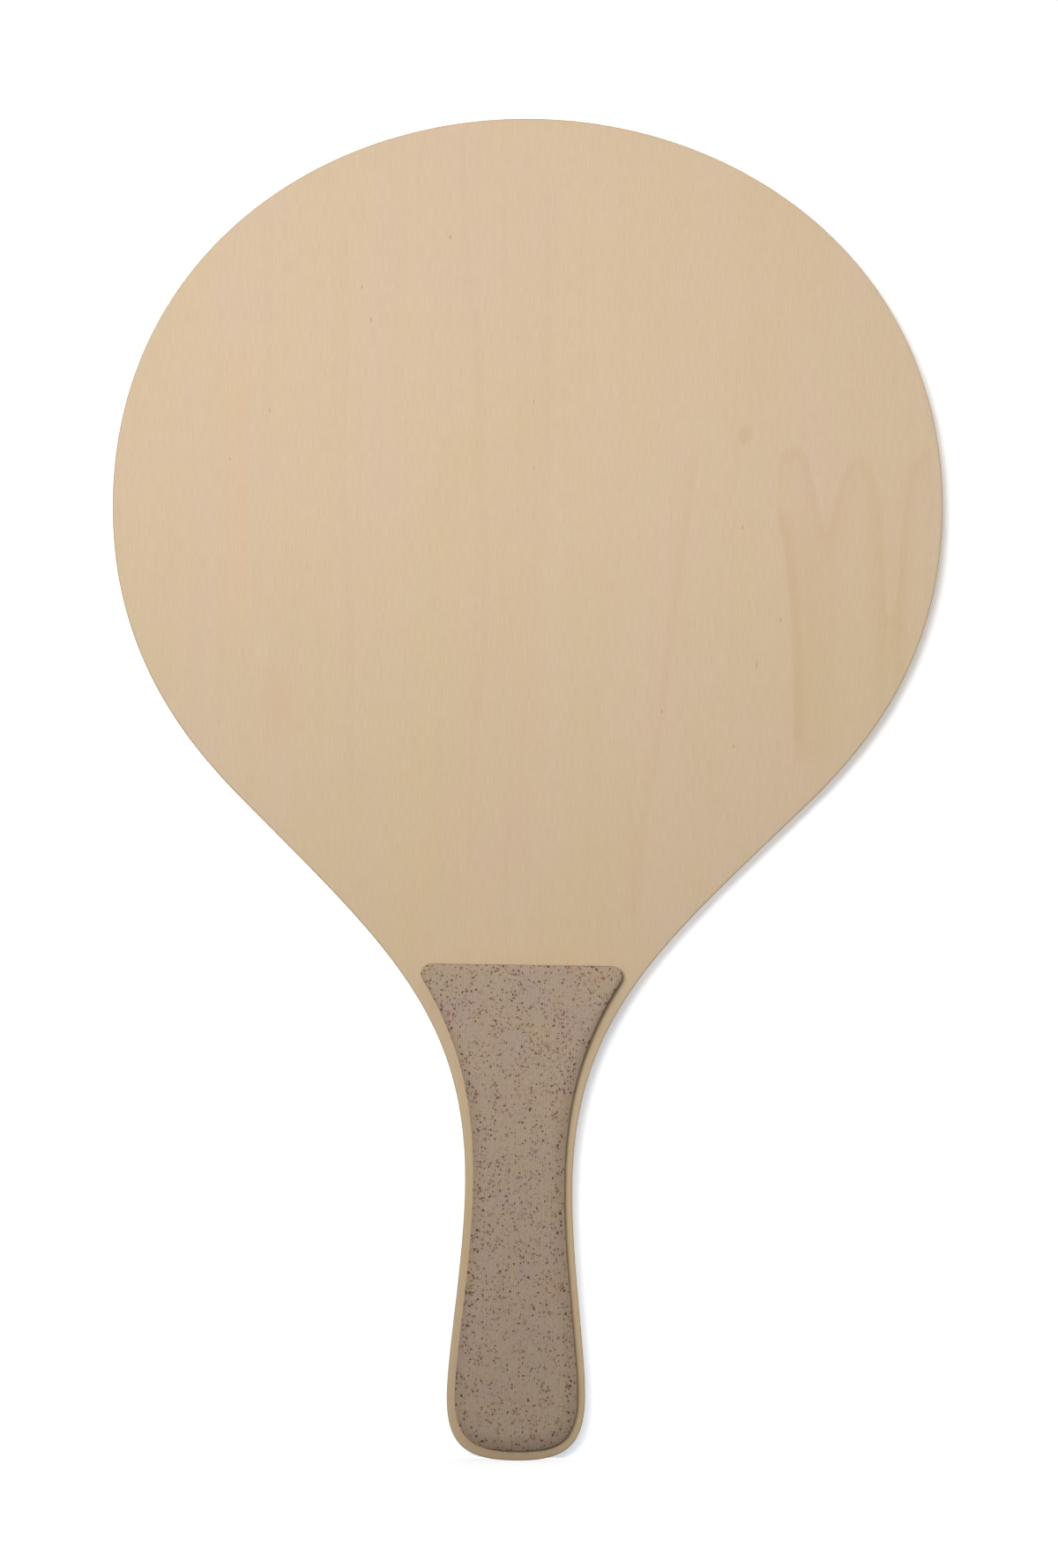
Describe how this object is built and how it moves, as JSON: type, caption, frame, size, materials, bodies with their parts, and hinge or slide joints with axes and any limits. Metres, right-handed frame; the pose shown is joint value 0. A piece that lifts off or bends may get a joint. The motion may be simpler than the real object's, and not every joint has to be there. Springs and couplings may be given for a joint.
{
  "type": "frescobol racket",
  "caption": "Teardrop plywood beach bat with a flared handle and a speckled moulded grip scale bonded to each side.",
  "frame": {"origin": "middle of the butt end, half way through the plywood", "axes": "+Z from the butt end up to the crown, +X across the face, -Y out of the front face"},
  "size_m": [0.235, 0.0184, 0.38],
  "materials": {
    "face_veneer": "pale, close-grained veneer, sanded and left matt",
    "cross_veneer": "end grain of the crosswise veneer, sanded",
    "core_veneer": "long grain of the core veneer, sanded",
    "adhesive": "thin translucent bonding film",
    "moulded_grip": "matt greige compound with brown, dark and grey specks and fine lengthwise lines"
  },
  "bodies": {
    "root": {"core_ply": "core_veneer", "front_cross_ply": "cross_veneer", "back_cross_ply": "cross_veneer", "front_face_ply": "face_veneer", "back_face_ply": "face_veneer", "front_grip_adhesive": "adhesive", "back_grip_adhesive": "adhesive", "front_grip_scale": "moulded_grip", "back_grip_scale": "moulded_grip"}
  },
  "joints": []
}
